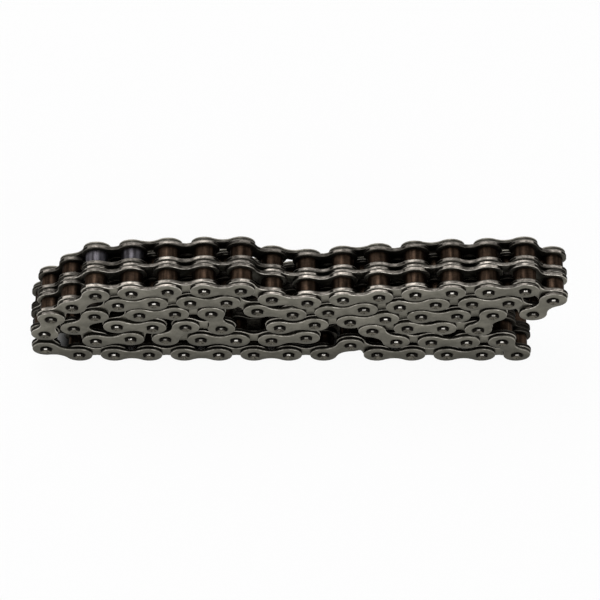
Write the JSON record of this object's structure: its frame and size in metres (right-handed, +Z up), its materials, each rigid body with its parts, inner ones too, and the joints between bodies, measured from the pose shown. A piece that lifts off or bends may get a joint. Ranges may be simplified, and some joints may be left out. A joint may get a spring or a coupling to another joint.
{
  "type": "duplex roller chain",
  "caption": "Endless two-strand roller chain for a drive, with waisted plates, riveted pins and free rollers, folded into a long flat stack standing on its plate edges.",
  "frame": {"origin": "middle of the underside of the folded stack, on the surface it stands on, halfway along its length and midway between the two strands", "axes": "+X along the stack to the right as seen from the front, +Y along the pins towards the back, +Z up"},
  "size_m": [0.1202, 0.013, 0.04],
  "materials": {
    "plates": "satin dark grey steel, lightly oiled, with edges rubbed bright",
    "bushes": "satin dark grey steel",
    "pins": "ground steel, riveted ends rubbed bright",
    "rollers": "smooth steel browned by heat treatment"
  },
  "bodies": {
    "bottom_run": {"bottom_outer_plates": "plates", "bottom_centre_plates": "plates", "bottom_pins": "pins", "bottom_inner_plates": "plates", "bottom_bushes": "bushes", "bottom_rollers": "rollers", "open_pivot_rivets": "pins"},
    "right_turn": {"right_turn_plates": "plates", "right_turn_pins": "pins"},
    "right_fold": {"right_fold_outer_plates": "plates", "right_fold_centre_plates": "plates", "right_fold_pins": "pins", "right_fold_inner_plates": "plates", "right_fold_bushes": "bushes", "right_fold_rollers": "rollers"},
    "riser": {"riser_plates": "plates", "riser_pins": "pins"},
    "folded_middle": {"middle_outer_plates": "plates", "middle_centre_plates": "plates", "middle_pins": "pins", "middle_inner_plates": "plates", "middle_bushes": "bushes", "middle_rollers": "rollers", "upper_outer_plates": "plates", "upper_centre_plates": "plates", "upper_pins": "pins", "upper_inner_plates": "plates", "upper_bushes": "bushes", "upper_rollers": "rollers"},
    "end_inner": {"end_inner_link": "plates", "end_rollers": "rollers"},
    "end_outer": {"end_outer_link": "plates"},
    "top_01": {"top_inner_link_01": "plates", "top_rollers_01": "rollers"},
    "top_02": {"top_outer_link_02": "plates"},
    "top_03": {"top_inner_link_03": "plates", "top_rollers_03": "rollers"},
    "top_04": {"top_outer_link_04": "plates"},
    "top_05": {"top_inner_link_05": "plates", "top_rollers_05": "rollers"},
    "top_06": {"top_outer_link_06": "plates"},
    "top_07": {"top_inner_link_07": "plates", "top_rollers_07": "rollers"},
    "top_08": {"top_outer_link_08": "plates"},
    "top_09": {"top_inner_link_09": "plates", "top_rollers_09": "rollers"},
    "top_10": {"top_outer_link_10": "plates"},
    "top_11": {"top_inner_link_11": "plates", "top_rollers_11": "rollers"},
    "top_12": {"top_outer_link_12": "plates"},
    "top_13": {"top_inner_link_13": "plates", "top_rollers_13": "rollers"},
    "top_14": {"top_outer_link_14": "plates"},
    "top_15": {"top_inner_link_15": "plates", "top_rollers_15": "rollers"},
    "top_16": {"top_outer_link_16": "plates"},
    "top_17": {"top_inner_link_17": "plates", "top_rollers_17": "rollers"}
  },
  "joints": [
    {"name": "right_turn_pivot", "type": "hinge", "parent": "bottom_run", "child": "right_turn", "pos_m": [0.05078, 0, 0.0033], "axis": [0, 1, 0], "range_deg": [0, 60]},
    {"name": "right_fold_pivot", "type": "hinge", "parent": "right_turn", "child": "right_fold", "pos_m": [0.0469, 0, 0.0103], "axis": [0, 1, 0], "range_deg": [0, 35]},
    {"name": "riser_pivot", "type": "hinge", "parent": "right_fold", "child": "riser", "pos_m": [0.0412, 0, 0.01674], "axis": [0, 1, 0], "range_deg": [0, 20]},
    {"name": "folded_middle_pivot", "type": "hinge", "parent": "riser", "child": "folded_middle", "pos_m": [0.04407, 0, 0.02421], "axis": [0, 1, 0], "range_deg": [0, 20]},
    {"name": "end_inner_pivot", "type": "hinge", "parent": "folded_middle", "child": "end_inner", "pos_m": [0.04706, 0, 0.03038], "axis": [0, 1, 0], "range_deg": [0, 15]},
    {"name": "end_outer_pivot", "type": "hinge", "parent": "end_inner", "child": "end_outer", "pos_m": [0.05291, 0, 0.02493], "axis": [0, 1, 0], "range_deg": [0, 20]},
    {"name": "top_01_pivot", "type": "hinge", "parent": "end_outer", "child": "top_01", "pos_m": [0.05679, 0, 0.03193], "axis": [0, 1, 0], "range_deg": [0, 25]},
    {"name": "top_02_pivot", "type": "hinge", "parent": "top_01", "child": "top_02", "pos_m": [0.05032, 0, 0.03663], "axis": [0, 1, 0], "range_deg": [0, 18]},
    {"name": "top_03_pivot", "type": "hinge", "parent": "top_02", "child": "top_03", "pos_m": [0.04235, 0, 0.03593], "axis": [0, 1, 0], "range_deg": [0, 18]},
    {"name": "top_04_pivot", "type": "hinge", "parent": "top_03", "child": "top_04", "pos_m": [0.03436, 0, 0.03551], "axis": [0, 1, 0], "range_deg": [0, 18]},
    {"name": "top_05_pivot", "type": "hinge", "parent": "top_04", "child": "top_05", "pos_m": [0.0264, 0, 0.03468], "axis": [0, 1, 0], "range_deg": [0, 18]},
    {"name": "top_06_pivot", "type": "hinge", "parent": "top_05", "child": "top_06", "pos_m": [0.0185, 0, 0.03342], "axis": [0, 1, 0], "range_deg": [0, 18]},
    {"name": "top_07_pivot", "type": "hinge", "parent": "top_06", "child": "top_07", "pos_m": [0.0106, 0, 0.03217], "axis": [0, 1, 0], "range_deg": [0, 18]},
    {"name": "top_08_pivot", "type": "hinge", "parent": "top_07", "child": "top_08", "pos_m": [0.00275, 0, 0.03065], "axis": [0, 1, 0], "range_deg": [0, 18]},
    {"name": "top_09_pivot", "type": "hinge", "parent": "top_08", "child": "top_09", "pos_m": [-0.00508, 0, 0.03231], "axis": [0, 1, 0], "range_deg": [0, 18]},
    {"name": "top_10_pivot", "type": "hinge", "parent": "top_09", "child": "top_10", "pos_m": [-0.01179, 0, 0.03667], "axis": [0, 1, 0], "range_deg": [0, 18]},
    {"name": "top_11_pivot", "type": "hinge", "parent": "top_10", "child": "top_11", "pos_m": [-0.01979, 0, 0.03653], "axis": [0, 1, 0], "range_deg": [0, 18]},
    {"name": "top_12_pivot", "type": "hinge", "parent": "top_11", "child": "top_12", "pos_m": [-0.02778, 0, 0.03611], "axis": [0, 1, 0], "range_deg": [0, 18]},
    {"name": "top_13_pivot", "type": "hinge", "parent": "top_12", "child": "top_13", "pos_m": [-0.03573, 0, 0.03527], "axis": [0, 1, 0], "range_deg": [0, 18]},
    {"name": "top_14_pivot", "type": "hinge", "parent": "top_13", "child": "top_14", "pos_m": [-0.04365, 0, 0.03416], "axis": [0, 1, 0], "range_deg": [0, 18]},
    {"name": "top_15_pivot", "type": "hinge", "parent": "top_14", "child": "top_15", "pos_m": [-0.04921, 0, 0.0284], "axis": [0, 1, 0], "range_deg": [0, 18]},
    {"name": "top_16_pivot", "type": "hinge", "parent": "top_15", "child": "top_16", "pos_m": [-0.05435, 0, 0.02228], "axis": [0, 1, 0], "range_deg": [0, 18]},
    {"name": "top_17_pivot", "type": "hinge", "parent": "top_16", "child": "top_17", "pos_m": [-0.05641, 0, 0.01454], "axis": [0, 1, 0], "range_deg": [0, 18]}
  ]
}
